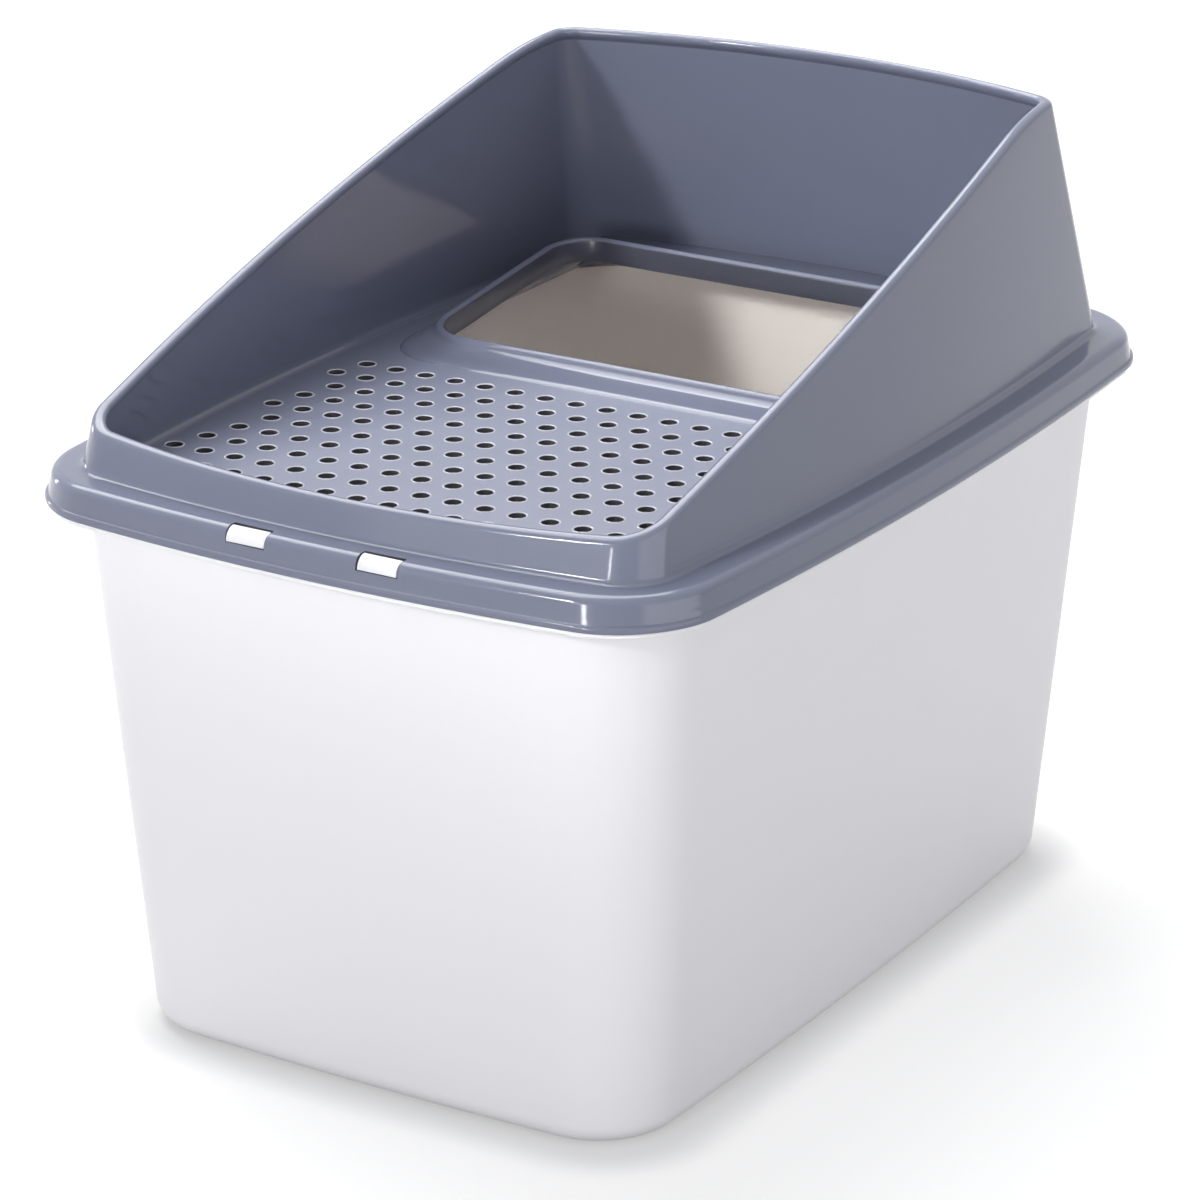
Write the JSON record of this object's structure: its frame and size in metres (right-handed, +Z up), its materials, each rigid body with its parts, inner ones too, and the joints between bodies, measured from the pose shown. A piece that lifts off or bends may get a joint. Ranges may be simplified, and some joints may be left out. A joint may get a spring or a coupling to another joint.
{
  "type": "top entry litter box",
  "caption": "Covered cat litter box with a tapered tub, a one-piece lid with a sloping hood, a perforated step deck, a top entry opening and small rocking latches.",
  "frame": {"origin": "on the floor under the centre of the tub", "axes": "+Z up; -Y is the front, where the hood's wall is lowest; +X is to the right as seen from the front"},
  "size_m": [0.4, 0.56, 0.44],
  "materials": {
    "tub_plastic": "satin white injection moulding",
    "lid_plastic": "glossy blue-grey injection moulding",
    "latch_plastic": "satin white injection moulding"
  },
  "bodies": {
    "tub": {"tub": "tub_plastic"},
    "lid": {"lid": "lid_plastic"},
    "latch_front_left": {"latch_front_left": "latch_plastic"},
    "latch_front_right": {"latch_front_right": "latch_plastic"},
    "latch_rear_left": {"latch_rear_left": "latch_plastic"},
    "latch_rear_right": {"latch_rear_right": "latch_plastic"}
  },
  "joints": [
    {"name": "lid_lift", "type": "slide", "parent": "tub", "child": "lid", "axis": [0, 0, 1], "range_m": [0, 0.1]},
    {"name": "latch_front_left_rock", "type": "hinge", "parent": "lid", "child": "latch_front_left", "pos_m": [-0.038, -0.27042, 0.2992], "axis": [-1, 0, 0], "range_deg": [0, 12], "stiffness_Nm_per_rad": 0.05},
    {"name": "latch_front_right_rock", "type": "hinge", "parent": "lid", "child": "latch_front_right", "pos_m": [0.038, -0.27042, 0.2992], "axis": [-1, 0, 0], "range_deg": [0, 12], "stiffness_Nm_per_rad": 0.05},
    {"name": "latch_rear_left_rock", "type": "hinge", "parent": "lid", "child": "latch_rear_left", "pos_m": [-0.038, 0.27042, 0.2992], "axis": [1, 0, 0], "range_deg": [0, 12], "stiffness_Nm_per_rad": 0.05},
    {"name": "latch_rear_right_rock", "type": "hinge", "parent": "lid", "child": "latch_rear_right", "pos_m": [0.038, 0.27042, 0.2992], "axis": [1, 0, 0], "range_deg": [0, 12], "stiffness_Nm_per_rad": 0.05}
  ]
}
